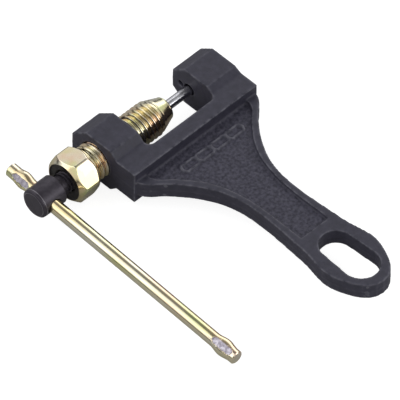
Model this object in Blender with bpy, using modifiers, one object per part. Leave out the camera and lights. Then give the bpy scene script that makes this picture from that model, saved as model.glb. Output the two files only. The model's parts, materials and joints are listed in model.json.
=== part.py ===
"""Chain tool for motorcycle drive chain: a cast two-jaw frame with a handle, a hollow hex clamp bolt that
presses the chain against the anvil jaw, and inside it a push screw that drives a punch pin through the
anvil's hole.

Metres, +Z up. Everything is laid out about the screw axis: X runs along it from the clamp jaw's outer face
towards the anvil jaw, -Y runs down the handle, and Z is the casting's thickness. One empty carries all the
parts and brings the middle of the tool's box, at its underside, to the world origin.
"""

from math import cos, pi, radians, sin, sqrt

import bmesh
import bpy
from mathutils import Matrix, Vector

# Where the layout's zero point (screw axis, clamp jaw's outer face) lies in the world.
LAYOUT_ZERO = Vector((-0.0150, 0.04673, 0.0099))

# Frame casting
HEAD_LENGTH = 0.0596
CLAMP_JAW_LENGTH = 0.0134
GAP_LENGTH = 0.0320
GAP_FLOOR_Y = -0.0130
HEAD_BACK_Y = -0.0193
GAP_CORNER_RADIUS = 0.0025
SPINE_HALF_Z = 0.0070
CLAMP_JAW = {"nose_y": 0.0115, "nose_z": 0.0043, "top_y": 0.0047, "half_z": 0.0099, "back_y": -0.0075}
ANVIL_JAW = {"nose_y": 0.0083, "nose_z": 0.0040, "top_y": 0.0026, "half_z": 0.0085, "back_y": -0.0086}
RAMP_RUN = 0.0028

# Handle
HANDLE_MIDDLE_X = HEAD_LENGTH / 2
HANDLE_HALF_Z = 0.0034
HANDLE_ROOT_Y = -0.0160
HANDLE_END_Y = -0.1101
# (half width, y) stations down one edge of the handle, and down one edge of the thin web inside its rim.
HANDLE_EDGE = [(0.0292, -0.0190), (0.0276, -0.0225), (0.0222, -0.0275), (0.0133, -0.0395),
               (0.0098, -0.0490), (0.0089, -0.0590), (0.0099, -0.0800), (0.0109, -0.0985)]
WEB_EDGE = [(0.0240, -0.0215), (0.0180, -0.0282), (0.0112, -0.0375), (0.0075, -0.0490),
            (0.0065, -0.0590), (0.0065, -0.0740)]
WEB_ROOT_Y = -0.0175
WEB_END_Y = -0.0768
WEB_HALF_Z = 0.0021
SLOT_TOP_CENTRE_Y, SLOT_TOP_RADIUS = -0.0873, 0.0062
SLOT_END_CENTRE_Y, SLOT_END_RADIUS = -0.0990, 0.0068

# Holes in the jaws
CLAMP_HOLE_RADIUS = 0.0070
ANVIL_HOLE_RADIUS = 0.0023
SIDE_HOLE_RADIUS, SIDE_HOLE_Y, SIDE_HOLE_DEPTH = 0.0012, 0.0041, 0.0070

# Clamp bolt: M14 with a 17 mm hex head, hollow
HEX_ACROSS_FLATS = 0.0170
HEX_LEFT_X, HEX_RIGHT_X = -0.0149, -0.0049
HEX_TURN = radians(-9.1)
HEX_FACE_RADIUS, HEX_CHAMFER_DEPTH = 0.0076, 0.0023  # the depth is at the hexagon's corners
BOLT_RADIUS = 0.0067
BOLT_SHANK_LEFT_X = -0.0129
BOLT_CONE_X, BOLT_NOSE_X, BOLT_NOSE_RADIUS = 0.0266, 0.0340, 0.0042
SCREW_BORE_RADIUS, SCREW_BORE_END_X = 0.0043, 0.0290
PIN_BORE_RADIUS = 0.0022

# Push screw, cross bar, punch pin and spring
PUSH_HEAD_RADIUS, PUSH_HEAD_LEFT_X, PUSH_HEAD_RIGHT_X = 0.00565, -0.0296, -0.0187
PUSH_HEAD_CHAMFER = 0.0007
PUSH_SHANK_RADIUS, PUSH_SHANK_END_X = 0.0040, 0.0100
CROSS_HOLE_X, CROSS_HOLE_RADIUS = -0.0245, 0.0029
BAR_RADIUS, BAR_SHORT_REACH, BAR_LONG_REACH = 0.0026, 0.0165, 0.0938
BAR_TILT = radians(3.9)
# Each crimp starts this far from its end of the bar. Its turn is the press direction's, from +Z towards -X.
SHORT_END_CRIMP = {"start": 0.0028, "length": 0.0078, "turn": radians(57)}
LONG_END_CRIMP = {"start": 0.0015, "length": 0.0093, "turn": radians(32)}
CRIMP_HALF_WIDTH, CRIMP_HALF_HEIGHT = 0.0033, 0.0020
PIN_RADIUS, PIN_TIP_X, PIN_TIP_CHAMFER = 0.00185, 0.0470, 0.0002
PIN_HEAD_RADIUS, PIN_HEAD_LENGTH = 0.0037, 0.0020
PART_GAP = 0.0003
SPRING_COIL_RADIUS, SPRING_WIRE_RADIUS, SPRING_TURNS = 0.0029, 0.00040, 9

# How finely round shapes are divided, how far a cutter runs past the face it opens, how far blocks that are
# joined run into each other, and how close points are before they are welded
ROUND_STEPS, BAR_STEPS, SLOT_STEPS, CRIMP_STEPS, SPRING_STEPS = 32, 24, 12, 10, 12
OVERCUT = 0.001
JOIN_OVERLAP = 0.0002
WELD_DISTANCE = 1e-6
YZ_PROFILE = Matrix(((0, 0, 1, 0), (1, 0, 0, 0), (0, 1, 0, 0), (0, 0, 0, 1)))
ALONG_X = Matrix.Rotation(pi / 2, 4, "Y")


def clear_scene():
    for old in list(bpy.data.objects):
        bpy.data.objects.remove(old, do_unlink=True)


def new_collection(name):
    made = bpy.data.collections.new(name)
    bpy.context.scene.collection.children.link(made)
    return made


def material(name, colour, roughness, metallic):
    made = bpy.data.materials.new(name)
    made.use_nodes = True
    shader = made.node_tree.nodes["Principled BSDF"]
    shader.inputs["Base Color"].default_value = (*colour, 1)
    shader.inputs["Roughness"].default_value = roughness
    shader.inputs["Metallic"].default_value = metallic
    return made


def mesh_object(name, shape, collection):
    """A new object that holds a finished bmesh."""
    bmesh.ops.recalc_face_normals(shape, faces=shape.faces)
    mesh = bpy.data.meshes.new(name)
    shape.to_mesh(mesh)
    shape.free()
    made = bpy.data.objects.new(name, mesh)
    collection.objects.link(made)
    return made


def baked(guide, matrix, collection):
    """The evaluated shape of a curve or of an object with modifiers, as a closed mesh moved by the matrix."""
    graph = bpy.context.evaluated_depsgraph_get()
    mesh = bpy.data.meshes.new_from_object(guide.evaluated_get(graph))
    shape = bmesh.new()
    shape.from_mesh(mesh)
    bmesh.ops.remove_doubles(shape, verts=shape.verts, dist=WELD_DISTANCE)
    bmesh.ops.transform(shape, matrix=matrix, verts=shape.verts)
    name = guide.name
    bpy.data.objects.remove(guide, do_unlink=True)
    bpy.data.meshes.remove(mesh)
    return mesh_object(name, shape, collection)


def flat_outline(name, splines, half_thickness, matrix, collection):
    """A plate from a 2D curve. Each spline is (kind, points); a bezier point may be tagged as a corner."""
    curve = bpy.data.curves.new(name, "CURVE")
    curve.dimensions = "2D"
    curve.fill_mode = "BOTH"
    curve.extrude = half_thickness
    curve.resolution_u = 6
    for kind, points in splines:
        spline = curve.splines.new(kind)
        if kind == "POLY":
            spline.points.add(len(points) - 1)
            for slot, (x, y) in zip(spline.points, points):
                slot.co = (x, y, 0, 1)
        else:
            spline.bezier_points.add(len(points) - 1)
            for slot, (x, y, handle) in zip(spline.bezier_points, points):
                slot.co = (x, y, 0)
                slot.handle_left_type = slot.handle_right_type = handle
        spline.use_cyclic_u = True
    guide = bpy.data.objects.new(name, curve)
    collection.objects.link(guide)
    bpy.context.view_layer.update()
    return baked(guide, matrix, collection)


def turned(name, profile, collection):
    """A turned shape about X. Its (radius, x) points, from the highest x down, are swept and laid over."""
    mesh = bpy.data.meshes.new(name)
    points = [(radius, 0, x) for radius, x in profile]
    mesh.from_pydata(points, [(i, i + 1) for i in range(len(points) - 1)], [])
    guide = bpy.data.objects.new(name, mesh)
    collection.objects.link(guide)
    sweep = guide.modifiers.new("Turn", "SCREW")
    sweep.steps = sweep.render_steps = ROUND_STEPS
    sweep.use_merge_vertices = True
    sweep.merge_threshold = WELD_DISTANCE
    bpy.context.view_layer.update()
    return baked(guide, ALONG_X, collection)


def rod(name, radius, start_x, end_x, y, collection):
    shape = bmesh.new()
    bmesh.ops.create_cone(shape, cap_ends=True, segments=ROUND_STEPS, radius1=radius, radius2=radius,
                          depth=end_x - start_x)
    middle = Matrix.Translation(((start_x + end_x) / 2, y, 0))
    bmesh.ops.transform(shape, matrix=middle @ ALONG_X, verts=shape.verts)
    return mesh_object(name, shape, collection)


def combine(target, other, operation):
    """An exact Boolean, with the other shape kept in its collection as a hidden guide."""
    other.hide_render = True
    other.display_type = "WIRE"
    step = target.modifiers.new(other.name, "BOOLEAN")
    step.operation = operation
    step.object = other
    step.solver = "EXACT"


def corner_arc(centre, radius, start, end, steps=6):
    angles = [start + (end - start) * i / steps for i in range(steps + 1)]
    return [(centre[0] + radius * cos(a), centre[1] + radius * sin(a)) for a in angles]


def jaw_profile(jaw):
    """A jaw's outline in the YZ plane: bevelled nose, flat top, and a ramp down to the thinner spine."""
    upper = [(jaw["nose_y"], jaw["nose_z"]), (jaw["top_y"], jaw["half_z"]), (jaw["back_y"], jaw["half_z"]),
             (jaw["back_y"] - RAMP_RUN, SPINE_HALF_Z), (HEAD_BACK_Y, SPINE_HALF_Z)]
    return upper + [(y, -z) for y, z in reversed(upper)]


def jaw_block(name, jaw, start_x, end_x, collection):
    matrix = Matrix.Translation(((start_x + end_x) / 2, 0, 0)) @ YZ_PROFILE
    return flat_outline(name, [("POLY", jaw_profile(jaw))], (end_x - start_x) / 2, matrix, collection)


def gap_cutter(collection):
    """The chain gap between the jaws, open at the front, with a round corner at each side of its floor."""
    left, right = CLAMP_JAW_LENGTH, CLAMP_JAW_LENGTH + GAP_LENGTH
    lift = GAP_FLOOR_Y + GAP_CORNER_RADIUS
    open_y = CLAMP_JAW["nose_y"] + OVERCUT
    outline = [(left, open_y)]
    outline += corner_arc((left + GAP_CORNER_RADIUS, lift), GAP_CORNER_RADIUS, pi, 1.5 * pi)
    outline += corner_arc((right - GAP_CORNER_RADIUS, lift), GAP_CORNER_RADIUS, 1.5 * pi, 2 * pi)
    outline += [(right, open_y)]
    return flat_outline("chain_gap", [("POLY", outline)], CLAMP_JAW["half_z"] + OVERCUT, Matrix(), collection)


def edge_loop(stations, root_y, end_points):
    """A closed bezier outline, alike on both sides of the handle's middle line, from one edge's stations."""
    down = [(HANDLE_MIDDLE_X - width, y, "AUTO") for width, y in stations]
    up = [(HANDLE_MIDDLE_X + width, y, "AUTO") for width, y in reversed(stations)]
    root_half = stations[0][0]
    return ([(HANDLE_MIDDLE_X - root_half, root_y, "VECTOR")] + down + end_points + up
            + [(HANDLE_MIDDLE_X + root_half, root_y, "VECTOR")])


def handle_plate(collection):
    round_end = [(HANDLE_MIDDLE_X, HANDLE_END_Y, "AUTO")]
    outline = edge_loop(HANDLE_EDGE, HANDLE_ROOT_Y, round_end)
    plate = flat_outline("handle_plate", [("BEZIER", outline)], HANDLE_HALF_Z, Matrix(), collection)
    web_width = WEB_EDGE[-1][0]
    square_end = [(HANDLE_MIDDLE_X - web_width, WEB_END_Y, "VECTOR"),
                  (HANDLE_MIDDLE_X + web_width, WEB_END_Y, "VECTOR")]
    web = edge_loop(WEB_EDGE, WEB_ROOT_Y, square_end)
    pocket_half_z = (HANDLE_HALF_Z - WEB_HALF_Z + OVERCUT) / 2
    for side in (1, -1):
        place = Matrix.Translation((0, 0, side * (WEB_HALF_Z + pocket_half_z)))
        pocket = flat_outline("web_pocket", [("BEZIER", web)], pocket_half_z, place, collection)
        combine(plate, pocket, "DIFFERENCE")
    slot = []
    ends = [(SLOT_TOP_CENTRE_Y, SLOT_TOP_RADIUS, 0), (SLOT_END_CENTRE_Y, SLOT_END_RADIUS, pi)]
    for centre_y, radius, start in ends:
        slot += corner_arc((HANDLE_MIDDLE_X, centre_y), radius, start, start + pi, SLOT_STEPS)
    opening = flat_outline("hang_slot", [("POLY", slot)], 2 * HANDLE_HALF_Z, Matrix(), collection)
    combine(plate, opening, "DIFFERENCE")
    return plate


def make_frame(parts, cutters):
    """The casting: two jaw blocks joined back to back, the chain gap cut out, and the handle plate added."""
    middle = HEAD_LENGTH / 2
    frame = jaw_block("frame", CLAMP_JAW, 0, middle + JOIN_OVERLAP, parts)
    combine(frame, jaw_block("anvil_block", ANVIL_JAW, middle, HEAD_LENGTH, cutters), "UNION")
    combine(frame, gap_cutter(cutters), "DIFFERENCE")
    combine(frame, handle_plate(cutters), "UNION")
    anvil_x = CLAMP_JAW_LENGTH + GAP_LENGTH
    holes = [("clamp_hole", CLAMP_HOLE_RADIUS, -OVERCUT, CLAMP_JAW_LENGTH + OVERCUT, 0),
             ("anvil_hole", ANVIL_HOLE_RADIUS, anvil_x - OVERCUT, HEAD_LENGTH + OVERCUT, 0),
             ("side_hole", SIDE_HOLE_RADIUS, anvil_x - OVERCUT, anvil_x + SIDE_HOLE_DEPTH, SIDE_HOLE_Y)]
    for name, radius, start_x, end_x, y in holes:
        combine(frame, rod(name, radius, start_x, end_x, y, cutters), "DIFFERENCE")
    return frame


def make_clamp_bolt(parts, cutters):
    """Hex head, plain shank that tapers to a blunt nose, and a stepped bore right through."""
    corner = HEX_ACROSS_FLATS / sqrt(3)
    shape = bmesh.new()
    bmesh.ops.create_cone(shape, cap_ends=True, segments=6, radius1=corner, radius2=corner,
                          depth=HEX_RIGHT_X - HEX_LEFT_X + 2 * OVERCUT)
    # create_cone starts its ring on local +Y, which stays +Y once the cone lies along X.
    place = Matrix.Translation(((HEX_LEFT_X + HEX_RIGHT_X) / 2, 0, 0))
    turn = Matrix.Rotation(HEX_TURN, 4, "X")
    bmesh.ops.transform(shape, matrix=place @ turn @ ALONG_X, verts=shape.verts)
    bolt = mesh_object("clamp_bolt", shape, parts)
    round_off = turned("hex_chamfer", [(0, HEX_RIGHT_X), (HEX_FACE_RADIUS, HEX_RIGHT_X),
                                       (corner, HEX_RIGHT_X - HEX_CHAMFER_DEPTH),
                                       (corner + OVERCUT, HEX_RIGHT_X - HEX_CHAMFER_DEPTH),
                                       (corner + OVERCUT, HEX_LEFT_X + HEX_CHAMFER_DEPTH),
                                       (corner, HEX_LEFT_X + HEX_CHAMFER_DEPTH),
                                       (HEX_FACE_RADIUS, HEX_LEFT_X), (0, HEX_LEFT_X)], cutters)
    combine(bolt, round_off, "INTERSECT")
    shank = turned("bolt_shank", [(0, BOLT_NOSE_X), (BOLT_NOSE_RADIUS, BOLT_NOSE_X),
                                  (BOLT_RADIUS, BOLT_CONE_X), (BOLT_RADIUS, BOLT_SHANK_LEFT_X),
                                  (0, BOLT_SHANK_LEFT_X)], cutters)
    combine(bolt, shank, "UNION")
    nose_end, mouth_end = BOLT_NOSE_X + OVERCUT, HEX_LEFT_X - OVERCUT
    bore = turned("bolt_bore", [(0, nose_end), (PIN_BORE_RADIUS, nose_end),
                                (PIN_BORE_RADIUS, SCREW_BORE_END_X), (SCREW_BORE_RADIUS, SCREW_BORE_END_X),
                                (SCREW_BORE_RADIUS, mouth_end), (0, mouth_end)], cutters)
    combine(bolt, bore, "DIFFERENCE")
    return bolt


def make_push_screw(parts, cutters):
    """Cylinder head with a chamfered rim and a cross hole, and a shank that turns in the clamp bolt."""
    chamfer_x = PUSH_HEAD_LEFT_X + PUSH_HEAD_CHAMFER
    screw = turned("push_screw", [(0, PUSH_SHANK_END_X), (PUSH_SHANK_RADIUS, PUSH_SHANK_END_X),
                                  (PUSH_SHANK_RADIUS, PUSH_HEAD_RIGHT_X),
                                  (PUSH_HEAD_RADIUS, PUSH_HEAD_RIGHT_X),
                                  (PUSH_HEAD_RADIUS, chamfer_x),
                                  (PUSH_HEAD_RADIUS - PUSH_HEAD_CHAMFER, PUSH_HEAD_LEFT_X),
                                  (0, PUSH_HEAD_LEFT_X)], parts)
    shape = bmesh.new()
    bmesh.ops.create_cone(shape, cap_ends=True, segments=ROUND_STEPS, radius1=CROSS_HOLE_RADIUS,
                          radius2=CROSS_HOLE_RADIUS, depth=4 * PUSH_HEAD_RADIUS)
    across = Matrix.Rotation(BAR_TILT, 4, "X") @ Matrix.Rotation(pi / 2, 4, "X")
    bmesh.ops.transform(shape, matrix=Matrix.Translation((CROSS_HOLE_X, 0, 0)) @ across, verts=shape.verts)
    combine(screw, mesh_object("cross_hole", shape, cutters), "DIFFERENCE")
    return screw


def crimp_stations(crimp):
    return [crimp["start"] + crimp["length"] * i / CRIMP_STEPS for i in range(CRIMP_STEPS + 1)]


def bar_ring(from_end, crimp):
    """(x, z) points round the bar at this distance from its end: round, pressed oval in the crimp, round."""
    inside = (from_end - crimp["start"]) / crimp["length"]
    press = sin(pi * inside) ** 2 if 0 < inside < 1 else 0
    width = BAR_RADIUS + (CRIMP_HALF_WIDTH - BAR_RADIUS) * press
    height = BAR_RADIUS + (CRIMP_HALF_HEIGHT - BAR_RADIUS) * press
    across = Vector((cos(crimp["turn"]), sin(crimp["turn"])))
    pressed = Vector((-sin(crimp["turn"]), cos(crimp["turn"])))
    angles = [2 * pi * i / BAR_STEPS - crimp["turn"] for i in range(BAR_STEPS)]
    return [width * cos(a) * across + height * sin(a) * pressed for a in angles]


def make_tommy_bar(parts):
    """A round bar, lofted ring by ring, whose ends are crimped so that it can't slide out of its hole."""
    long_end = [(d, LONG_END_CRIMP, d - BAR_LONG_REACH) for d in [0] + crimp_stations(LONG_END_CRIMP)]
    short_end = [(d, SHORT_END_CRIMP, BAR_SHORT_REACH - d) for d in [0] + crimp_stations(SHORT_END_CRIMP)]
    shape = bmesh.new()
    rings = []
    for from_end, crimp, y in long_end + short_end[::-1]:
        rings.append([shape.verts.new((x, y, z)) for x, z in bar_ring(from_end, crimp)])
    for ring, after in zip(rings, rings[1:]):
        for i in range(len(ring)):
            j = (i + 1) % len(ring)
            shape.faces.new((ring[i], ring[j], after[j], after[i]))
    shape.faces.new(rings[0])
    shape.faces.new(rings[-1])
    bar = mesh_object("tommy_bar", shape, parts)
    bar.location.x = CROSS_HOLE_X
    bar.rotation_euler.x = BAR_TILT
    return bar


def make_punch_pin(parts):
    head_x = PUSH_SHANK_END_X + PART_GAP
    head_end_x = head_x + PIN_HEAD_LENGTH
    return turned("punch_pin", [(0, PIN_TIP_X), (PIN_RADIUS - PIN_TIP_CHAMFER, PIN_TIP_X),
                                (PIN_RADIUS, PIN_TIP_X - PIN_TIP_CHAMFER), (PIN_RADIUS, head_end_x),
                                (PIN_HEAD_RADIUS, head_end_x), (PIN_HEAD_RADIUS, head_x), (0, head_x)], parts)


def make_return_spring(parts):
    """A coil round the pin, between the pin's head and the shoulder at the end of the screw bore."""
    start = PUSH_SHANK_END_X + PIN_HEAD_LENGTH + 2 * PART_GAP + SPRING_WIRE_RADIUS
    end = SCREW_BORE_END_X - PART_GAP - SPRING_WIRE_RADIUS
    steps = SPRING_STEPS * SPRING_TURNS
    curve = bpy.data.curves.new("return_spring", "CURVE")
    curve.dimensions = "3D"
    curve.bevel_depth = SPRING_WIRE_RADIUS
    curve.bevel_resolution = 2
    curve.use_fill_caps = True
    spline = curve.splines.new("POLY")
    spline.points.add(steps)
    for i, point in enumerate(spline.points):
        angle = 2 * pi * SPRING_TURNS * i / steps
        x = start + (end - start) * i / steps
        point.co = (x, SPRING_COIL_RADIUS * cos(angle), SPRING_COIL_RADIUS * sin(angle), 1)
    guide = bpy.data.objects.new("return_spring", curve)
    parts.objects.link(guide)
    bpy.context.view_layer.update()
    return baked(guide, Matrix(), parts)


def finish_part(part, finish, carrier):
    part.data.materials.clear()
    part.data.materials.append(finish)
    part.data.shade_smooth()
    part.data.set_sharp_from_angle(angle=radians(30))
    part.parent = carrier


def main():
    clear_scene()
    parts = new_collection("chain_tool")
    cutters = new_collection("chain_tool_cutters")
    carrier = bpy.data.objects.new("screw_axis", None)
    parts.objects.link(carrier)
    carrier.location = LAYOUT_ZERO

    coated_iron = material("coated_iron", (0.060, 0.060, 0.075), 0.55, 0.2)
    yellow_zinc = material("yellow_zinc", (0.78, 0.64, 0.36), 0.28, 1.0)
    black_oxide = material("black_oxide", (0.045, 0.042, 0.048), 0.42, 0.6)
    bright_steel = material("bright_steel", (0.72, 0.72, 0.74), 0.22, 1.0)

    finish_part(make_frame(parts, cutters), coated_iron, carrier)
    finish_part(make_clamp_bolt(parts, cutters), yellow_zinc, carrier)
    finish_part(make_push_screw(parts, cutters), black_oxide, carrier)
    finish_part(make_tommy_bar(parts), yellow_zinc, carrier)
    finish_part(make_punch_pin(parts), bright_steel, carrier)
    finish_part(make_return_spring(parts), bright_steel, carrier)
    for guide in cutters.objects:
        guide.parent = carrier


main()
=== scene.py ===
"""Looks of a motorcycle chain tool: a coated iron casting with a grainy web, a yellow-zinc hollow clamp bolt
and cross bar, a black push screw and a bright punch pin, on a pale floor under soft studio light.

Metres, in the CAD frame. Shapes are laid out about the screw axis, as span() gives it: x from the clamp
jaw's outer face towards the anvil, -y down the handle, z up through the casting.
"""

import json
from math import copysign, cos, exp, hypot, pi, radians, sin, sqrt

import bmesh
import bpy
from mathutils import Matrix, Vector, noise


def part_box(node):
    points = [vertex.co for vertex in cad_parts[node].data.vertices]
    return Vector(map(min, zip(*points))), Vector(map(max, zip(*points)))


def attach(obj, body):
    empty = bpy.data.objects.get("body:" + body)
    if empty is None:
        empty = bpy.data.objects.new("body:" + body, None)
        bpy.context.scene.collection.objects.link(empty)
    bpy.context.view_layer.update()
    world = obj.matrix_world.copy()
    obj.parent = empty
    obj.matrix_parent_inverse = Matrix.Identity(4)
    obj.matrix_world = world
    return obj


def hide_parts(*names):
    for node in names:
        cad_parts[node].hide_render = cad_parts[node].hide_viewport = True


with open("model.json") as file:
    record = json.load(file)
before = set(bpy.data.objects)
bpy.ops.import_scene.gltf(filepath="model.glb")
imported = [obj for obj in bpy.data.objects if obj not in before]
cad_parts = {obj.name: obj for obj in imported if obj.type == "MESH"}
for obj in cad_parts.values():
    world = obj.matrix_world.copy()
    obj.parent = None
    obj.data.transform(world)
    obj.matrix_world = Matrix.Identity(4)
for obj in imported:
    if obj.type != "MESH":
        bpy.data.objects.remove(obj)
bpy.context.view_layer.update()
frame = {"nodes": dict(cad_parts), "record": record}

JOINTS = {joint["name"]: joint for joint in frame["record"]["behaviour"]["joints"]}
FRAME_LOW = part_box("frame")[0]
SCREW_AXIS = Vector((FRAME_LOW[0], *JOINTS["clamp_turn"]["pos_m"][1:]))

# Thread forms and the pieces' own sizes that the CAD solids don't carry
CLAMP_PITCH, CLAMP_CREST, CLAMP_ROOT = 0.0020, 0.00695, 0.00610
CLAMP_TAPER_START, CLAMP_TAPER = 0.0266, 0.38  # the thread's crests run down towards the nose from here
PUSH_PITCH, PUSH_CREST, PUSH_ROOT = 0.00125, 0.00395, 0.00335
HEX_ACROSS_FLATS, HEX_LENGTH, HEX_FACE_RADIUS, HEX_CHAMFER_DEPTH = 0.0170, 0.0100, 0.0076, 0.0023
HEX_TURN = radians(-9.1)
PUSH_HEAD_LENGTH, PUSH_HEAD_RADIUS = 0.0109, 0.00565
BAR_RADIUS, CROSS_HOLE_RADIUS = 0.0026, 0.0029
BORE_RADIUS, SCREW_BORE_RADIUS = 0.0022, 0.0041
WEB_HALF_Z, WEB_TOP_Y, WEB_END_Y = 0.0021, -0.0193, -0.0768
# Each crimp starts this far from its end of the bar. Its turn is the press direction's, from +Z towards -X.
SHORT_END_CRIMP = {"start": 0.0028, "length": 0.0078, "turn": radians(57)}
LONG_END_CRIMP = {"start": 0.0015, "length": 0.0093, "turn": radians(32)}
CRIMP_SWELL, CRIMP_SINK = 0.00065, 0.00065

# The hexagon: how far its corners are turned off, how wide its edges are crowned, its dished end face, and
# how deep the painted shade on that face reaches
HEX_CORNER_CUT, HEX_CROWN = 0.00020, 0.00025
HEX_DISH_DEPTH, HEX_DISH_LIP, PAINTED_SHADE_DEPTH = 0.0004, 0.0003, 0.0020

# The casting: its parting line, its draft, and the band round the screw axis whose holes stay true
PARTING_DEPTH, PARTING_HALF_WIDTH, DRAFT_SLOPE = 0.00006, 0.00050, 0.006
HOLE_BAND_LOW_Y, HOLE_BAND_HIGH_Y = -0.0110, 0.0085
HOLE_GUARD_RADIUS, HOLE_GUARD_FADE = 0.0075, 0.0012
FINE_GRAIN, COARSE_GRAIN = 0.0011, 0.0030


def span(node):
    """The node's lowest and highest corner, counted from the screw axis at the clamp jaw's outer face."""
    low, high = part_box(node)
    return Vector(low) - SCREW_AXIS, Vector(high) - SCREW_AXIS


# ---------------------------------------------------------------- meshes

def new_piece(name, shape, body, node=None):
    """A smooth-shaded piece from a bmesh laid out about the screw axis, moved to its place in the world."""
    bmesh.ops.recalc_face_normals(shape, faces=shape.faces)
    bmesh.ops.translate(shape, vec=SCREW_AXIS, verts=shape.verts)
    mesh = bpy.data.meshes.new(name)
    shape.to_mesh(mesh)
    shape.free()
    piece = bpy.data.objects.new(name, mesh)
    bpy.context.scene.collection.objects.link(piece)
    mesh.shade_smooth()
    mesh.set_sharp_from_angle(angle=radians(38))
    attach(piece, body)
    if node:
        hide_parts(node)
    return piece


def ring_surface(shape, rings, closed_along=False):
    """Faces between rings of vertices. A ring may be one vertex, where the surface meets its axis."""
    pairs = list(zip(rings, rings[1:]))
    if closed_along:
        pairs.append((rings[-1], rings[0]))
    for one, two in pairs:
        count = max(len(one), len(two))
        for i in range(count):
            corners = [one[i % len(one)], one[(i + 1) % len(one)], two[(i + 1) % len(two)], two[i % len(two)]]
            kept = [c for k, c in enumerate(corners) if c not in corners[:k]]
            if len(kept) > 2:
                shape.faces.new(kept)


def lathe(shape, profile, steps=96, reach=None, closed_along=False):
    """Turns an (x, radius) profile about the screw axis. reach(angle, x, radius) may change a radius."""
    rings = []
    for x, radius in profile:
        if radius == 0:
            rings.append([shape.verts.new((x, 0, 0))])
            continue
        ring = []
        for i in range(steps):
            angle = 2 * pi * i / steps
            r = reach(angle, x, radius) if reach else radius
            ring.append(shape.verts.new((x, r * cos(angle), r * sin(angle))))
        rings.append(ring)
    ring_surface(shape, rings, closed_along)


def rounded(points, radius, steps=4):
    """An (x, radius) profile with its inner corners rounded off by quadratic curves."""
    path = [Vector(points[0])]
    for before, corner, after in zip(points, points[1:], points[2:]):
        corner = Vector(corner)
        into, out = Vector(before) - corner, Vector(after) - corner
        cut = min(radius, 0.45 * into.length, 0.45 * out.length)
        start, end = corner + into.normalized() * cut, corner + out.normalized() * cut
        for i in range(steps + 1):
            t = i / steps
            path.append((1 - t) ** 2 * start + 2 * t * (1 - t) * corner + t ** 2 * end)
    path.append(Vector(points[-1]))
    return [tuple(p) for p in path]


def screw_thread(shape, start_x, end_x, pitch, crest, root, limit=lambda x: 1.0, steps=72):
    """A right-hand V thread as one helical strip, with narrow flats on its crests and roots."""
    form = [(0.00, 0.0), (0.08, 0.0), (0.20, 0.40), (0.34, 0.86), (0.40, 1.0), (0.52, 1.0), (0.58, 0.86),
            (0.72, 0.40), (0.86, 0.06)]
    turns = (end_x - start_x) / pitch
    count = int(turns * steps)
    rows = []
    for n in range(count + steps + 1):
        angle = 2 * pi * n / steps
        row = []
        for along, height in form:
            x = start_x + pitch * (n / steps - 1 + along)
            inside = min(max(x, start_x), end_x)
            r = min(root + (crest - root) * height, limit(inside))
            row.append(shape.verts.new((inside, r * cos(angle), r * sin(angle))))
        rows.append(row)
    for n in range(len(rows) - 1):
        one, two = rows[n], rows[n + 1]
        for k in range(len(form) - 1):
            shape.faces.new((one[k], one[k + 1], two[k + 1], two[k]))
        if n + steps + 1 < len(rows):
            next_one, next_two = rows[n + steps], rows[n + steps + 1]
            shape.faces.new((one[-1], next_one[0], next_two[0], two[-1]))


# ---------------------------------------------------------------- the casting

def link_relief(shape):
    """A row of plain chain-link outlines, raised on the web below the spine, on its upper face."""
    low, high = span("frame")
    middle_x = (low[0] + high[0]) / 2 + 0.0011
    count, pitch, boss_gap, boss, stroke = 4, 0.0072, 0.0030, 0.0026, 0.0010
    row_y, floor, height = -0.0262, WEB_HALF_Z - 0.0006, 0.0014
    for n in range(count):
        centre = middle_x + (n - (count - 1) / 2) * pitch
        outer, inner = [], []
        for i in range(48):
            angle = 2 * pi * i / 48
            side = 1 if cos(angle) >= 0 else -1
            waist = 1 - 0.22 * exp(-(cos(angle) / 0.30) ** 2)
            for radius, line in ((boss, outer), (boss - stroke, inner)):
                line.append((centre + side * boss_gap / 2 + radius * cos(angle),
                             row_y + radius * sin(angle) * waist))
        rings = []
        for line, z in ((outer, floor), (outer, floor + height), (inner, floor + height), (inner, floor)):
            rings.append([shape.verts.new((x, y, z)) for x, y in line])
        ring_surface(shape, rings, closed_along=True)


def cast_walls(mesh):
    """Gives the casting its foundry surface: a parting line, draft on the walls, sand grain, a rough web."""
    web = mesh.attributes.new("web", "FLOAT", "POINT")
    fine = 1 / FINE_GRAIN
    coarse = 1 / COARSE_GRAIN
    normals = [v.normal.copy() for v in mesh.vertices]
    for vertex, normal in zip(mesh.vertices, normals):
        p = vertex.co - SCREW_AXIS
        upright = max(0.0, 1 - abs(normal.z) * 2.2)
        from_holes = min(max((hypot(p.y, p.z) - HOLE_GUARD_RADIUS) / HOLE_GUARD_FADE, 0), 1)
        bored = 1 if p.y < HOLE_BAND_LOW_Y or p.y > HOLE_BAND_HIGH_Y else from_holes
        draft = PARTING_DEPTH * (1 - exp(-(p.z / PARTING_HALF_WIDTH) ** 2)) + DRAFT_SLOPE * abs(p.z)
        draft += 0.00006 * noise.noise(p * coarse)
        in_web = WEB_END_Y < p.y < WEB_TOP_Y and abs(p.z) < WEB_HALF_Z + 0.0004 and abs(normal.z) > 0.7
        web.data[vertex.index].value = 1.0 if in_web else 0.0
        sand = 0.000016 * noise.noise(p * fine) + 0.00003 * noise.noise(p * coarse)
        if in_web:
            sand = 0.00010 * noise.noise(p * fine) + 0.00008 * noise.noise(p * coarse)
        vertex.co -= normal * (draft * upright * bored + 0.00002 - sand * bored)


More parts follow.
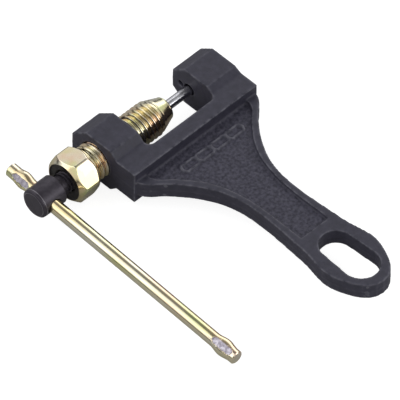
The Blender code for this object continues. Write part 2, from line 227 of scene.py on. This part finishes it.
def cast_frame():
    """The CAD casting remeshed finely with the relief joined on, its edges run soft, its walls drafted."""
    shape = bmesh.new()
    shape.from_mesh(frame["nodes"]["frame"].data)
    bmesh.ops.translate(shape, vec=-SCREW_AXIS, verts=shape.verts)
    bmesh.ops.remove_doubles(shape, verts=shape.verts, dist=1e-6)
    link_relief(shape)
    rough = new_piece("frame_casting", shape, "frame", "frame")
    remesh = rough.modifiers.new("Even mesh", "REMESH")
    remesh.mode = "VOXEL"
    remesh.voxel_size = 0.00034
    soften = rough.modifiers.new("Soft edges", "SMOOTH")
    soften.factor = 0.5
    soften.iterations = 5
    graph = bpy.context.evaluated_depsgraph_get()
    even = bpy.data.meshes.new_from_object(rough.evaluated_get(graph))
    rough.modifiers.clear()
    rough.data = even
    cast_walls(even)
    even.shade_smooth()
    return rough


# ---------------------------------------------------------------- bolt, screw, bar, pin, spring

def hex_reach(low_x, high_x):
    """Radius rule for a hexagon whose corners are turned off by a cone at both ends, with a crowned edge."""
    flat = HEX_ACROSS_FLATS / 2
    corner = HEX_ACROSS_FLATS / sqrt(3)
    slope = (corner - HEX_FACE_RADIUS) / HEX_CHAMFER_DEPTH

    def reach(angle, x, radius):
        around = (angle - HEX_TURN + pi / 6) % (pi / 3) - pi / 6
        side = flat / cos(pi / 6 - abs(around))
        cone = HEX_FACE_RADIUS + min(x - low_x, high_x - x) * slope
        blunt = softer_least(side, corner - HEX_CORNER_CUT, HEX_CROWN)
        return radius * softer_least(blunt, cone, HEX_CROWN)
    return reach


def softer_least(one, two, width):
    """The lesser of two lengths, run over smoothly where they are nearly equal."""
    share = max(width - abs(one - two), 0) / width
    return min(one, two) - share * share * width / 4


def clamp_bolt():
    """Hollow bolt: hexagon with an end face painted dark as shade and dark reflection, M14 thread with a
    tapered nose, and the bore's mouths.
    """
    low, high = span("clamp_bolt")
    hex_low, hex_high, nose_x = low[0], low[0] + HEX_LENGTH, high[0]
    shape = bmesh.new()
    rows = 56
    body = []
    for i in range(rows + 1):
        share = 0.5 - 0.5 * cos(pi * i / rows)
        body.append((hex_low + (hex_high - hex_low) * share, 1.0))
    lathe(shape, body, 360, hex_reach(hex_low, hex_high))
    face_edge = HEX_FACE_RADIUS - HEX_DISH_LIP
    dish_x = hex_low + HEX_DISH_DEPTH
    face = [(hex_low, HEX_FACE_RADIUS), (hex_low - 0.00002, face_edge), (dish_x, face_edge - 0.0005),
            (dish_x, SCREW_BORE_RADIUS + 0.0007), (dish_x + 0.0007, SCREW_BORE_RADIUS),
            (hex_low + 0.0150, SCREW_BORE_RADIUS)]
    lathe(shape, face, 128)
    washer = [(hex_high, HEX_FACE_RADIUS), (hex_high + 0.0003, HEX_FACE_RADIUS - 0.0002),
              (hex_high + 0.0004, CLAMP_CREST), (hex_high + 0.0011, CLAMP_ROOT),
              (hex_high + 0.0016, CLAMP_ROOT)]
    lathe(shape, rounded(washer, 0.00012, 3), 128)

    def crest_limit(x):
        return CLAMP_CREST - CLAMP_TAPER * max(x - CLAMP_TAPER_START, 0)

    thread_end = nose_x - 0.0008
    screw_thread(shape, hex_high + 0.0009, thread_end, CLAMP_PITCH, CLAMP_CREST, CLAMP_ROOT, crest_limit, 96)
    nose_edge = crest_limit(nose_x - 0.0003)
    nose = rounded([(thread_end - 0.0015, nose_edge - 0.0002), (thread_end, nose_edge + 0.0003),
                    (nose_x - 0.0003, nose_edge), (nose_x, nose_edge - 0.0006),
                    (nose_x, BORE_RADIUS + 0.0003), (nose_x - 0.0004, BORE_RADIUS),
                    (nose_x - 0.0060, BORE_RADIUS)], 0.0004)
    lathe(shape, nose)
    # The end face and the bore's mouth take a near-black finish: painted shade and a painted dark reflection
    # of the screw head.
    paint_end_face_shade(shape, hex_low, face_edge - 0.0002)
    return new_piece("clamp_bolt_threaded", shape, "clamp_bolt", "clamp_bolt")


def paint_end_face_shade(shape, hex_low, radius):
    """Gives the hexagon's end face and the bore's mouth the second finish, a near-black colour that paints
    the shade and dark reflection there.
    """
    for face in shape.faces:
        centre = face.calc_center_median()
        if centre.x < hex_low + PAINTED_SHADE_DEPTH and hypot(centre.y, centre.z) < radius:
            face.material_index = 1


def paint_rim_highlights(shape, *rims):
    """Gives the narrow faces at these (x, radius) edges the second finish, a paler colour painted on as
    highlight lines.
    """
    for face in shape.faces:
        centre = face.calc_center_median()
        out = hypot(centre.y, centre.z)
        if any(abs(centre.x - x) < 0.00010 and abs(out - radius) < 0.00014 for x, radius in rims):
            face.material_index = 1


def push_screw():
    """Black screw: head with a chamfered rim, ringed end face and cross hole, relief neck and thread."""
    low, high = span("push_screw")
    head_low, head_high, radius = low[0], low[0] + PUSH_HEAD_LENGTH, PUSH_HEAD_RADIUS
    shape = bmesh.new()
    face = []
    groove_count = 10
    rim = radius - 0.0009
    for i in range(groove_count * 2):
        depth = 0.00007 if i % 2 else 0.00003
        face.append((head_low + depth, 0.0003 + (rim - 0.0006) * i / (groove_count * 2)))
    side = rounded([(head_low + 0.00003, rim - 0.0002), (head_low, rim), (head_low + 0.0006, radius - 0.0001),
                    (head_low + 0.0012, radius - 0.0001), (head_low + 0.0013, radius),
                    (head_high - 0.0005, radius), (head_high, radius - 0.0006)], 0.00010)
    neck = rounded([(head_high, radius - 0.0006), (head_high, 0.0040), (head_high + 0.0004, 0.0036),
                    (head_high + 0.0030, 0.0036)], 0.0002)
    core = [(high[0] - 0.0010, 0.0032), (high[0], 0.0025), (high[0], 0)]
    lathe(shape, [(head_low + 0.00005, 0)] + face + side + neck[1:] + core, 144)
    # The head's rim edges get a paler steel finish: painted highlight lines.
    paint_rim_highlights(shape, (head_low, rim - 0.0001), (head_low + 0.00125, radius))
    piece = new_piece("push_screw_turned", shape, "push_screw", "push_screw")

    drill = bmesh.new()
    tilt = bar_tilt()
    reach = radius * 1.3
    hole = [(-reach, CROSS_HOLE_RADIUS + 0.0022), (-radius * 0.93, CROSS_HOLE_RADIUS),
            (radius * 0.93, CROSS_HOLE_RADIUS), (reach, CROSS_HOLE_RADIUS + 0.0022)]
    lathe(drill, [(hole[0][0], 0)] + hole + [(hole[-1][0], 0)], 64)
    bmesh.ops.transform(drill, matrix=bar_matrix(tilt), verts=drill.verts)
    cutter = new_piece("cross_drill", drill, "push_screw")
    cut = piece.modifiers.new("Cross hole", "BOOLEAN")
    cut.operation = "DIFFERENCE"
    cut.object = cutter
    cut.solver = "EXACT"
    graph = bpy.context.evaluated_depsgraph_get()
    drilled = bpy.data.meshes.new_from_object(piece.evaluated_get(graph))
    piece.modifiers.clear()
    piece.data = drilled
    drilled.set_sharp_from_angle(angle=radians(30))
    bpy.data.objects.remove(cutter, do_unlink=True)

    thread = bmesh.new()
    screw_thread(thread, head_high + 0.0026, high[0] - 0.0010, PUSH_PITCH, PUSH_CREST, PUSH_ROOT)
    new_piece("push_screw_thread", thread, "push_screw")
    return piece


def bar_tilt():
    axis = Vector(JOINTS["bar_slide"]["axis"])
    return Vector((0, 1, 0)).angle(axis)


def bar_matrix(tilt):
    """Takes a shape laid along x to the bar's line, through the cross hole."""
    hole_x = span("tommy_bar")
    middle = (hole_x[0][0] + hole_x[1][0]) / 2
    return (Matrix.Translation((middle, 0, 0)) @ Matrix.Rotation(tilt, 4, "X")
            @ Matrix.Rotation(pi / 2, 4, "Z"))


def crimp_ring(from_end, crimp, steps):
    """(x, z) points round the bar at this distance from its end, and whether each lies on a pressed flat.

    In a crimp the bar is wider across the press, with a flat sunk into each pressed side."""
    inside = (from_end - crimp["start"]) / crimp["length"]
    press = sin(pi * inside) ** 2 if 0 < inside < 1 else 0
    to_end = (0.5 - abs(inside - 0.5)) * crimp["length"]
    sunk = min(max(to_end / 0.0006, 0), 1)
    half_flat = 0.00115 * min(1, sqrt(max(to_end / 0.0012, 0)))
    width = BAR_RADIUS + CRIMP_SWELL * press
    floor = BAR_RADIUS - CRIMP_SINK * sunk
    chamfer = max(0.0, 0.0003 - from_end)
    points = []
    for i in range(steps):
        angle = 2 * pi * i / steps - crimp["turn"]
        across, up = (width - chamfer) * cos(angle), (BAR_RADIUS - chamfer) * sin(angle)
        wall = min(max((abs(across) - half_flat) / 0.00022, 0), 1)
        pressed = sunk > 0 and wall < 1 and abs(up) > floor
        if pressed:
            up = copysign(floor + (abs(up) - floor) * wall, up)
        points.append((across * cos(crimp["turn"]) - up * sin(crimp["turn"]),
                       across * sin(crimp["turn"]) + up * cos(crimp["turn"]), pressed and wall < 0.5))
    return points


def tommy_bar():
    """Cross bar: drawn rod with chamfered ends and a crimp near each end, its pressed flats laid bare."""
    low, high = span("tommy_bar")
    tilt = bar_tilt()
    short_reach, long_reach = high[1] / cos(tilt) - 0.0002, -low[1] / cos(tilt) - 0.0002
    crimp_rows, steps = 60, 112
    near, far = [], []
    for crimp, rows in ((LONG_END_CRIMP, near), (SHORT_END_CRIMP, far)):
        rows += [0, 0.00012, 0.0003]
        rows += [crimp["start"] + crimp["length"] * i / crimp_rows for i in range(crimp_rows + 1)]
    middle_start, middle_end = near[-1] - long_reach, short_reach - far[-1]
    middle = [middle_start + (middle_end - middle_start) * i / 30 for i in range(1, 30)]
    stations = [(d, LONG_END_CRIMP, d - long_reach) for d in near]
    past_crimps = BAR_RADIUS * 9
    stations += [(past_crimps, SHORT_END_CRIMP, along) for along in middle]
    stations += [(d, SHORT_END_CRIMP, short_reach - d) for d in reversed(far)]
    shape = bmesh.new()
    flats = set()
    rings = [[shape.verts.new((-long_reach, 0, 0))]]
    for from_end, crimp, along in stations:
        ring = []
        for x, z, pressed in crimp_ring(from_end, crimp, steps):
            ring.append(shape.verts.new((along, -x, z)))
            if pressed:
                flats.add(ring[-1])
        rings.append(ring)
    rings.append([shape.verts.new((short_reach, 0, 0))])
    ring_surface(shape, rings)
    for face in shape.faces:
        face.material_index = 1 if all(corner in flats for corner in face.verts) else 0
    bmesh.ops.transform(shape, matrix=bar_matrix(tilt), verts=shape.verts)
    return new_piece("cross_bar_crimped", shape, "tommy_bar", "tommy_bar")


def punch_pin():
    """Ground punch with a small chamfer at its tip and a thrust head inside the bolt."""
    low, high = span("punch_pin")
    shape = bmesh.new()
    pin, head = 0.00185, 0.0036
    shank_x = low[0] + 0.0020
    shank = [(high[0] - 0.0002 - (high[0] - 0.0002 - shank_x) * i / 12, pin) for i in range(13)]
    tip = [(high[0], 0), (high[0], 0.0006), (high[0], pin - 0.0003), (high[0] - 0.00008, pin - 0.00008)]
    collar = rounded([(shank_x, pin), (shank_x, head), (low[0], head), (low[0], 0.0006)], 0.00015)
    lathe(shape, tip + shank + collar[1:] + [(low[0], 0)], 64)
    return new_piece("punch_pin_ground", shape, "punch_pin", "punch_pin")


def return_spring():
    """Compression spring with closed, ground-flat looking end turns."""
    low, high = span("return_spring")
    wire, coil, turns, steps, sides = 0.00040, 0.0029, 10, 32, 12
    start, end = low[0] + wire, high[0] - wire
    shape = bmesh.new()
    rings = []
    for n in range(turns * steps + 1):
        t = n / (turns * steps)
        eased = min(max((t * turns - 0.9) / (turns - 1.8), 0), 1)
        x = start + (end - start) * eased
        angle = 2 * pi * n / steps
        out = Vector((0, cos(angle), sin(angle)))
        ring = []
        for k in range(sides):
            turn = 2 * pi * k / sides
            along = Vector((x + wire * sin(turn), 0, 0))
            ring.append(shape.verts.new(along + out * (coil + wire * cos(turn))))
        rings.append(ring)
    ring_surface(shape, rings)
    shape.faces.new(rings[0])
    shape.faces.new(rings[-1])
    return new_piece("return_spring_coil", shape, "spring_carriage", "return_spring")


# ---------------------------------------------------------------- shader groups

def group_shell(name, inputs, outputs):
    tree = bpy.data.node_groups.new(name, "ShaderNodeTree")
    for label, kind, value in inputs:
        socket = tree.interface.new_socket(label, in_out="INPUT", socket_type="NodeSocket" + kind)
        socket.default_value = value
    for label, kind in outputs:
        tree.interface.new_socket(label, in_out="OUTPUT", socket_type="NodeSocket" + kind)
    return tree, tree.nodes.new("NodeGroupInput"), tree.nodes.new("NodeGroupOutput")


def add(tree, kind, links=None, **settings):
    """A node with its settings, and its inputs set from values or linked from sockets."""
    made = tree.nodes.new(kind)
    for key, value in settings.items():
        setattr(made, key, value)
    for key, value in (links or {}).items():
        if isinstance(value, bpy.types.NodeSocket):
            tree.links.new(value, made.inputs[key])
        else:
            made.inputs[key].default_value = value
    return made


def reckon(tree, operation, a, b=0.0, clamp=False):
    return add(tree, "ShaderNodeMath", {0: a, 1: b}, operation=operation, use_clamp=clamp).outputs[0]


def spread(tree, value, low, high, to_low=0.0, to_high=1.0):
    """Maps low..high to to_low..to_high and stops there."""
    return add(tree, "ShaderNodeMapRange", {"Value": value, "From Min": low, "From Max": high,
                                            "To Min": to_low, "To Max": to_high}).outputs[0]


def blend(tree, factor, one, two, mode="MIX"):
    made = add(tree, "ShaderNodeMix", data_type="RGBA", blend_type=mode)
    for socket, value in ((made.inputs[0], factor), (made.inputs[6], one), (made.inputs[7], two)):
        if isinstance(value, bpy.types.NodeSocket):
            tree.links.new(value, socket)
        else:
            socket.default_value = value
    return made.outputs[2]


def noise_at(tree, where, scale, detail=4.0, roughness=0.55):
    return add(tree, "ShaderNodeTexNoise", {"Vector": where, "Scale": scale, "Detail": detail,
                                            "Roughness": roughness}).outputs[0]


def edge_wear_and_highlight_group():
    """Paler raised edges, broken up by noise: worn coating, and a painted highlight along the edges."""
    inputs = [("Sharpness", "Float", 0.06), ("Patch Scale", "Float", 300.0), ("Amount", "Float", 1.0)]
    tree, enter, leave = group_shell("edge_wear_and_highlight", inputs, [("Mask", "Float")])
    where = add(tree, "ShaderNodeTexCoord").outputs["Object"]
    point = add(tree, "ShaderNodeNewGeometry").outputs["Pointiness"]
    raised = reckon(tree, "DIVIDE", reckon(tree, "SUBTRACT", point, 0.5), enter.outputs["Sharpness"], True)
    patches = spread(tree, noise_at(tree, where, enter.outputs["Patch Scale"]), 0.35, 0.62)
    worn = reckon(tree, "MULTIPLY", reckon(tree, "MULTIPLY", raised, patches), enter.outputs["Amount"], True)
    tree.links.new(worn, leave.inputs["Mask"])
    return tree


def grain_group():
    """Cast or plated grain: fine bumps over broad unevenness, as a height and as a patchy mask."""
    inputs = [("Fine Scale", "Float", 1500.0), ("Broad Scale", "Float", 250.0), ("Fine Share", "Float", 0.6)]
    tree, enter, leave = group_shell("surface_grain", inputs, [("Height", "Float"), ("Mask", "Float")])
    where = add(tree, "ShaderNodeTexCoord").outputs["Object"]
    fine = noise_at(tree, where, enter.outputs["Fine Scale"], 3.0, 0.6)
    broad = noise_at(tree, where, enter.outputs["Broad Scale"], 4.0)
    height = add(tree, "ShaderNodeMix", {0: enter.outputs["Fine Share"], 2: broad, 3: fine}).outputs[0]
    tree.links.new(height, leave.inputs["Height"])
    tree.links.new(spread(tree, broad, 0.35, 0.65), leave.inputs["Mask"])
    return tree


def plating_group():
    """Passivated zinc: a straw base that drifts towards green, rose and silver in soft patches."""
    inputs = [("Straw", "Color", (0.84, 0.72, 0.40, 1)), ("Green", "Color", (0.74, 0.78, 0.38, 1)),
              ("Rose", "Color", (0.88, 0.64, 0.45, 1)), ("Silver", "Color", (0.88, 0.84, 0.66, 1)),
              ("Scale", "Float", 110.0), ("Drift", "Vector", (1, 1, 1))]
    tree, enter, leave = group_shell("plating_tint", inputs, [("Color", "Color")])
    where = add(tree, "ShaderNodeTexCoord").outputs["Object"]
    spot = add(tree, "ShaderNodeVectorMath", {0: where, 1: enter.outputs["Drift"]},
               operation="MULTIPLY").outputs[0]
    shifts = [add(tree, "ShaderNodeVectorMath", {0: spot, 1: (k * 0.37, k * 0.11, k * 0.23)}).outputs[0]
              for k in range(3)]
    patches = [spread(tree, noise_at(tree, s, enter.outputs["Scale"], 2.0), 0.45, 0.66) for s in shifts]
    colour = enter.outputs["Straw"]
    for label, patch in zip(("Green", "Rose", "Silver"), patches):
        colour = blend(tree, patch, colour, enter.outputs[label])
    tree.links.new(colour, leave.inputs["Color"])
    return tree


def turning_group():
    """Fine tool marks of a lathe: rings whose spacing is even along one axis, with uneven depth."""
    inputs = [("Spacing", "Float", 0.00016), ("Along", "Vector", (1, 0, 0))]
    tree, enter, leave = group_shell("tool_marks", inputs, [("Height", "Float")])
    where = add(tree, "ShaderNodeTexCoord").outputs["Object"]
    run = add(tree, "ShaderNodeVectorMath", {0: where, 1: enter.outputs["Along"]},
              operation="DOT_PRODUCT").outputs["Value"]
    phase = reckon(tree, "DIVIDE", run, enter.outputs["Spacing"])
    wobble = reckon(tree, "MULTIPLY", noise_at(tree, where, 900.0), 2.0)
    wave = reckon(tree, "SINE", reckon(tree, "MULTIPLY", reckon(tree, "ADD", phase, wobble), 2 * pi))
    tree.links.new(spread(tree, wave, -1, 1), leave.inputs["Height"])
    return tree


GROUPS = {"wear_and_highlight": edge_wear_and_highlight_group(), "grain": grain_group(), "plating": plating_group(),
          "turning": turning_group()}


def use(tree, group, **values):
    made = tree.nodes.new("ShaderNodeGroup")
    made.node_tree = GROUPS[group]
    for key, value in values.items():
        made.inputs[key.replace("_", " ")].default_value = value
    return made


# ---------------------------------------------------------------- materials

def shader_of(name, **plain):
    """A material and its Principled shader, with the values that are the same all over the surface."""
    made = bpy.data.materials.new(name)
    made.use_nodes = True
    shader = made.node_tree.nodes["Principled BSDF"]
    for key, value in plain.items():
        shader.inputs[key.replace("_", " ")].default_value = value
    return made, made.node_tree, shader


def bump(tree, shader, height, strength, depth):
    made = add(tree, "ShaderNodeBump", {"Height": height, "Strength": strength, "Distance": depth})
    tree.links.new(made.outputs["Normal"], shader.inputs["Normal"])


def coated_iron():
    """Dark blue-grey coat: satin on the jaws and rim, coarse and duller on the web, paler on raised edges,
    partly worn coat and partly a painted highlight.
    """
    made, tree, shader = shader_of("coated_iron_looks", Metallic=0.0, Specular_IOR_Level=0.36)
    web = add(tree, "ShaderNodeAttribute", attribute_name="web").outputs["Fac"]
    grain = use(tree, "grain", Fine_Scale=1900.0, Broad_Scale=420.0, Fine_Share=0.45)
    rough_web = use(tree, "grain", Fine_Scale=1150.0, Broad_Scale=850.0, Fine_Share=0.7)
    wear_and_highlight = use(tree, "wear_and_highlight", Sharpness=0.035, Patch_Scale=420.0, Amount=1.0)
    body = blend(tree, grain.outputs["Mask"], (0.036, 0.035, 0.052, 1), (0.050, 0.048, 0.070, 1))
    dull = blend(tree, rough_web.outputs["Mask"], (0.024, 0.023, 0.038, 1), (0.070, 0.067, 0.096, 1))
    colour = blend(tree, web, body, dull)
    # Raised edges turn paler: partly worn coat, partly a painted highlight along the fillets.
    colour = blend(tree, wear_and_highlight.outputs["Mask"], colour, (0.125, 0.124, 0.150, 1))
    tree.links.new(colour, shader.inputs["Base Color"])
    roughness = spread(tree, grain.outputs["Mask"], 0, 1, 0.42, 0.54)
    roughness = reckon(tree, "ADD", roughness, reckon(tree, "MULTIPLY", web, 0.10))
    tree.links.new(reckon(tree, "SUBTRACT", roughness, reckon(tree, "MULTIPLY", wear_and_highlight.outputs["Mask"], 0.12)),
                   shader.inputs["Roughness"])
    height = add(tree, "ShaderNodeMix", {0: web, 2: grain.outputs["Height"],
                                         3: rough_web.outputs["Height"]}).outputs[0]
    depth = add(tree, "ShaderNodeMix", {0: web, 2: 0.35, 3: 1.0}).outputs[0]
    bump(tree, shader, reckon(tree, "MULTIPLY", height, depth), 0.75, 0.00022)
    return made


def yellow_zinc(name, scale, drift, spacing, along):
    """Bright passivated zinc over turned or drawn steel."""
    made, tree, shader = shader_of(name, Metallic=1.0)
    tint = use(tree, "plating", Scale=scale, Drift=drift)
    wear_and_highlight = use(tree, "wear_and_highlight", Sharpness=0.05, Patch_Scale=600.0, Amount=0.55)
    colour = blend(tree, wear_and_highlight.outputs["Mask"], tint.outputs["Color"], (0.90, 0.84, 0.74, 1))
    tree.links.new(colour, shader.inputs["Base Color"])
    grain = use(tree, "grain", Fine_Scale=2600.0, Broad_Scale=300.0, Fine_Share=0.5)
    tree.links.new(spread(tree, grain.outputs["Mask"], 0, 1, 0.11, 0.19), shader.inputs["Roughness"])
    marks = use(tree, "turning", Spacing=spacing, Along=along)
    rings = reckon(tree, "MULTIPLY", marks.outputs["Height"], 0.35)
    bump(tree, shader, reckon(tree, "ADD", rings, grain.outputs["Height"]), 0.20, 0.00003)
    return made


def shade_painted_zinc():
    """The hexagon's end face, painted near-black as shade and as a dark reflection of the screw head."""
    made, tree, shader = shader_of("painted_shade_zinc_looks", Metallic=0.35)
    grain = use(tree, "grain", Fine_Scale=1800.0, Broad_Scale=600.0, Fine_Share=0.4)
    tree.links.new(blend(tree, grain.outputs["Mask"], (0.010, 0.009, 0.010, 1), (0.035, 0.030, 0.024, 1)),
                   shader.inputs["Base Color"])
    tree.links.new(spread(tree, grain.outputs["Mask"], 0, 1, 0.34, 0.50), shader.inputs["Roughness"])
    bump(tree, shader, grain.outputs["Height"], 0.3, 0.00004)
    return made


def crushed_flat():
    """Steel laid bare where the bar's ends were squashed: silver with a violet cast and a dragged grain."""
    made, tree, shader = shader_of("crimp_flat_looks", Metallic=0.55)
    grain = use(tree, "grain", Fine_Scale=2400.0, Broad_Scale=900.0, Fine_Share=0.6)
    colour = blend(tree, grain.outputs["Mask"], (0.40, 0.36, 0.43, 1), (0.78, 0.74, 0.82, 1))
    tree.links.new(colour, shader.inputs["Base Color"])
    tree.links.new(spread(tree, grain.outputs["Mask"], 0, 1, 0.50, 0.32), shader.inputs["Roughness"])
    bump(tree, shader, grain.outputs["Height"], 0.5, 0.00008)
    return made


def black_oxide():
    """Black oxide on turned steel, with a painted highlight along the turned edges."""
    made, tree, shader = shader_of("black_oxide_looks", Metallic=0.55)
    grain = use(tree, "grain", Fine_Scale=2200.0, Broad_Scale=350.0, Fine_Share=0.5)
    wear_and_highlight = use(tree, "wear_and_highlight", Sharpness=0.10, Patch_Scale=900.0, Amount=0.6)
    colour = blend(tree, grain.outputs["Mask"], (0.046, 0.040, 0.052, 1), (0.068, 0.060, 0.074, 1))
    # The turned edges turn paler: a painted highlight line along each rim.
    colour = blend(tree, wear_and_highlight.outputs["Mask"], colour, (0.20, 0.19, 0.21, 1))
    tree.links.new(colour, shader.inputs["Base Color"])
    tree.links.new(spread(tree, grain.outputs["Mask"], 0, 1, 0.34, 0.42), shader.inputs["Roughness"])
    marks = use(tree, "turning", Spacing=0.00018, Along=(1, 0, 0))
    rings = reckon(tree, "MULTIPLY", marks.outputs["Height"], 0.5)
    bump(tree, shader, reckon(tree, "ADD", rings, grain.outputs["Height"]), 0.25, 0.00003)
    return made


def ground_steel(name, bright, dull, rough):
    """Bare ground steel with fine rings."""
    made, tree, shader = shader_of(name, Metallic=1.0)
    grain = use(tree, "grain", Fine_Scale=2500.0, Broad_Scale=500.0, Fine_Share=0.5)
    tree.links.new(blend(tree, grain.outputs["Mask"], dull, bright), shader.inputs["Base Color"])
    tree.links.new(spread(tree, grain.outputs["Mask"], 0, 1, rough, rough + 0.08), shader.inputs["Roughness"])
    marks = use(tree, "turning", Spacing=0.00012, Along=(1, 0, 0))
    bump(tree, shader, marks.outputs["Height"], 0.15, 0.00003)
    return made


def pale_floor():
    """A near-white floor that throws back only as much light as grey card."""
    made, tree, shader = shader_of("pale_floor", Roughness=0.9, Specular_IOR_Level=0.1)
    grain = use(tree, "grain", Fine_Scale=60.0, Broad_Scale=4.0, Fine_Share=0.2)
    tree.links.new(blend(tree, grain.outputs["Mask"], (0.42, 0.42, 0.42, 1), (0.44, 0.44, 0.44, 1)),
                   shader.inputs["Base Color"])
    shader.inputs["Emission Color"].default_value = (1, 1, 1, 1)
    shader.inputs["Emission Strength"].default_value = 0.86
    card = add(tree, "ShaderNodeBsdfDiffuse", {"Color": (0.50, 0.50, 0.50, 1)})
    seen = add(tree, "ShaderNodeLightPath").outputs["Is Camera Ray"]
    mix = add(tree, "ShaderNodeMixShader", {0: seen, 1: card.outputs[0], 2: shader.outputs[0]})
    tree.links.new(mix.outputs[0], tree.nodes["Material Output"].inputs["Surface"])
    return made


# ---------------------------------------------------------------- studio

VIEW_AZIMUTH, VIEW_ELEVATION, VIEW_ROLL = radians(-45.4), radians(49.2), radians(0.7)
VIEW_TARGET = SCREW_AXIS + Vector((0.0127, -0.0384, 0))
VIEW_DISTANCE = 4.0
FRAME_WIDTH = 0.1372  # metres across the picture at the target
SENSOR_WIDTH = 36


def camera():
    data = bpy.data.cameras.new("studio_camera")
    data.sensor_width = SENSOR_WIDTH
    data.lens = SENSOR_WIDTH * VIEW_DISTANCE / FRAME_WIDTH
    made = bpy.data.objects.new("studio_camera", data)
    bpy.context.scene.collection.objects.link(made)
    back = Vector((sin(VIEW_AZIMUTH) * cos(VIEW_ELEVATION), -cos(VIEW_AZIMUTH) * cos(VIEW_ELEVATION),
                   sin(VIEW_ELEVATION)))
    made.rotation_mode = "QUATERNION"
    made.location = VIEW_TARGET + back * VIEW_DISTANCE
    roll = Matrix.Rotation(VIEW_ROLL, 3, "Z").to_quaternion()
    made.rotation_quaternion = (-back).to_track_quat("-Z", "Y") @ roll
    bpy.context.scene.camera = made


def softbox(name, azimuth, elevation, distance, size, power, tall=None):
    """An area light on a sphere round the tool, facing it."""
    data = bpy.data.lights.new(name, "AREA")
    data.shape = "RECTANGLE"
    data.size, data.size_y, data.energy = size, tall or size, power
    made = bpy.data.objects.new(name, data)
    bpy.context.scene.collection.objects.link(made)
    a, e = radians(azimuth), radians(elevation)
    back = Vector((sin(a) * cos(e), -cos(a) * cos(e), sin(e)))
    made.location = VIEW_TARGET + back * distance
    made.rotation_euler = (-back).to_track_quat("-Z", "Y").to_euler()


def air():
    """Soft light from all round: a bright belt between a dim horizon and a dim top."""
    world = bpy.data.worlds.new("studio_air")
    world.use_nodes = True
    tree = world.node_tree
    direction = add(tree, "ShaderNodeTexCoord").outputs["Generated"]
    up = add(tree, "ShaderNodeSeparateXYZ", {0: direction}).outputs["Z"]
    belt = add(tree, "ShaderNodeValToRGB", {"Fac": up})
    steps = [(0.0, 0.10), (0.14, 0.14), (0.24, 0.85), (0.72, 0.95), (0.86, 0.30), (1.0, 0.22)]
    ramp = belt.color_ramp
    while len(ramp.elements) < len(steps):
        ramp.elements.new(0.5)
    for stop, (place, level) in zip(ramp.elements, steps):
        stop.position = place
        stop.color = (level, level, level * 1.02, 1)
    tree.links.new(belt.outputs["Color"], tree.nodes["Background"].inputs["Color"])
    tree.nodes["Background"].inputs["Strength"].default_value = 0.85
    bpy.context.scene.world = world


def studio():
    bpy.ops.mesh.primitive_plane_add(size=6, location=(0, 0, -0.00005))
    floor = bpy.context.object
    floor.name = "studio_floor"
    floor.data.materials.append(pale_floor())
    air()
    bpy.context.scene.view_settings.view_transform = "Standard"
    softbox("right_back", azimuth=116, elevation=30, distance=0.9, size=0.6, power=0.9, tall=0.5)
    softbox("left_back", azimuth=-132, elevation=45, distance=0.9, size=0.8, power=1.7)
    softbox("right_front", azimuth=29, elevation=22, distance=0.9, size=0.5, power=1.2)


def dress(piece, *materials):
    """Adds the finishes in the order of the faces' material indices, on a mesh that has none yet."""
    for finish in materials:
        piece.data.materials.append(finish)


iron = coated_iron()
zinc = yellow_zinc("yellow_zinc_looks", scale=120.0, drift=(1, 1, 1), spacing=0.00022, along=(1, 0, 0))
drawn_zinc = yellow_zinc("drawn_zinc_looks", scale=260.0, drift=(1, 0.10, 1), spacing=0.0009, along=(0, 1, 0))
oxide = black_oxide()
# Near-black finish for the hexagon's end face: painted shade and a painted dark reflection.
painted_shade_finish = shade_painted_zinc()
# Paler steel on the head's rim edges: painted highlight lines.
rim_highlight_steel = ground_steel("painted_rim_highlight_looks", bright=(0.34, 0.33, 0.35, 1),
                      dull=(0.16, 0.15, 0.17, 1), rough=0.34)
bright = ground_steel("bright_steel_looks", bright=(0.82, 0.82, 0.84, 1),
                      dull=(0.62, 0.62, 0.65, 1), rough=0.12)
spring_wire = ground_steel("spring_steel_looks", bright=(0.60, 0.60, 0.62, 1),
                           dull=(0.42, 0.42, 0.44, 1), rough=0.28)

dress(cast_frame(), iron)
dress(clamp_bolt(), zinc, painted_shade_finish)
dress(push_screw(), oxide, rim_highlight_steel)
dress(bpy.data.objects["push_screw_thread"], oxide)
dress(tommy_bar(), drawn_zinc, crushed_flat())
dress(punch_pin(), bright)
dress(return_spring(), spring_wire)

camera()
studio()
